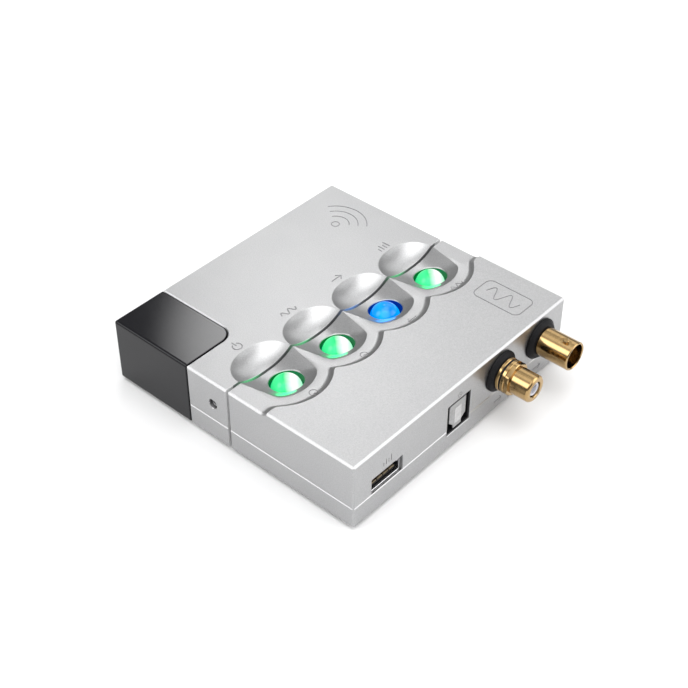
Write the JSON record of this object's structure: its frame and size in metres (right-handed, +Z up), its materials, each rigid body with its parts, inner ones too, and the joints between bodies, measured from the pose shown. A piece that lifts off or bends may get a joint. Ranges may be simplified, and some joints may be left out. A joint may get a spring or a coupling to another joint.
{
  "type": "desktop digital audio bridge",
  "caption": "Two slim aluminium audio modules docked side by side, with glowing ball buttons in scooped bowls, a black antenna corner and a digital connector panel.",
  "frame": {"origin": "centre of the bounding box on the surface that the feet stand on", "axes": "+X towards the connector panel, -Y towards the long side with the visible lock screw, +Z up"},
  "size_m": [0.1112, 0.1, 0.025],
  "materials": {
    "case_aluminium": "bead-blasted and clear anodised, fine speckle",
    "cover_black": "polished black, smooth",
    "board_green": "solder mask",
    "battery_wrap": "shrink wrap",
    "port_plastic": "fine matt moulding",
    "port_steel": "nickel-plated sheet",
    "fastener_steel": "zinc-plated",
    "connector_gold": "turned and polished gold plate",
    "washer_black": "satin moulding",
    "foot_rubber": "matt",
    "ball_green": "clear cast, lit from below",
    "ball_blue": "clear cast, lit from below",
    "cup_clear": "frosted clear moulding",
    "door_frosted": "translucent moulding",
    "insulator_white": "turned white polymer"
  },
  "bodies": {
    "case": {"streamer_upper_shell": "case_aluminium", "streamer_bottom_cover": "case_aluminium", "antenna_cover": "cover_black", "antenna_board": "board_green", "streamer_board": "board_green", "wireless_module": "port_steel", "battery_pack": "battery_wrap", "ethernet_jack": "port_plastic", "charge_port": "port_steel", "card_socket_near": "port_steel", "card_socket_far": "port_steel", "setup_switch": "port_plastic", "dock_socket": "port_plastic", "lock_screw_front": "fastener_steel", "lock_screw_back": "fastener_steel", "output_upper_shell": "case_aluminium", "output_bottom_cover": "case_aluminium", "output_board": "board_green", "dock_plug": "port_plastic", "lock_pin_front": "fastener_steel", "lock_pin_back": "fastener_steel", "usb_shell": "port_steel", "usb_tongue": "port_plastic", "optical_housing": "port_plastic", "rca_body": "connector_gold", "rca_washer": "washer_black", "rca_insulator": "insulator_white", "rca_nut": "connector_gold", "bnc_body": "connector_gold", "bnc_washer": "washer_black", "bnc_insulator": "insulator_white", "bnc_contact": "connector_gold", "bnc_nut": "connector_gold", "button_switch_1": "port_plastic", "streamer_screw_1": "fastener_steel", "output_screw_1": "fastener_steel", "button_switch_2": "port_plastic", "streamer_screw_2": "fastener_steel", "output_screw_2": "fastener_steel", "button_switch_3": "port_plastic", "streamer_screw_3": "fastener_steel", "output_screw_3": "fastener_steel", "button_switch_4": "port_plastic", "streamer_screw_4": "fastener_steel", "output_screw_4": "fastener_steel", "streamer_foot_1": "foot_rubber", "output_foot_1": "foot_rubber", "streamer_foot_2": "foot_rubber", "output_foot_2": "foot_rubber"},
    "button_1": {"button_ball_1": "ball_green", "button_cup_1": "cup_clear"},
    "button_2": {"button_ball_2": "ball_green", "button_cup_2": "cup_clear"},
    "button_3": {"button_ball_3": "ball_blue", "button_cup_3": "cup_clear"},
    "button_4": {"button_ball_4": "ball_green", "button_cup_4": "cup_clear"},
    "setup_button": {"setup_button": "port_plastic"},
    "optical_door": {"optical_door": "door_frosted"}
  },
  "joints": [
    {"name": "button_1_press", "type": "slide", "parent": "case", "child": "button_1", "axis": [0, 0, -1], "range_m": [0, 0.0006], "stiffness_N_per_m": 800, "springref_m": -0.0006},
    {"name": "button_2_press", "type": "slide", "parent": "case", "child": "button_2", "axis": [0, 0, -1], "range_m": [0, 0.0006], "stiffness_N_per_m": 800, "springref_m": -0.0006},
    {"name": "button_3_press", "type": "slide", "parent": "case", "child": "button_3", "axis": [0, 0, -1], "range_m": [0, 0.0006], "stiffness_N_per_m": 800, "springref_m": -0.0006},
    {"name": "button_4_press", "type": "slide", "parent": "case", "child": "button_4", "axis": [0, 0, -1], "range_m": [0, 0.0006], "stiffness_N_per_m": 800, "springref_m": -0.0006},
    {"name": "setup_button_press", "type": "slide", "parent": "case", "child": "setup_button", "axis": [1, 0, 0], "range_m": [0, 0.0006], "stiffness_N_per_m": 600, "springref_m": -0.0006},
    {"name": "optical_door_swing", "type": "hinge", "parent": "case", "child": "optical_door", "pos_m": [0.0411, -0.0027, 0.01665], "axis": [0, 1, 0], "range_deg": [0, 85], "stiffness_Nm_per_rad": 0.0003, "springref_deg": -17.19}
  ]
}
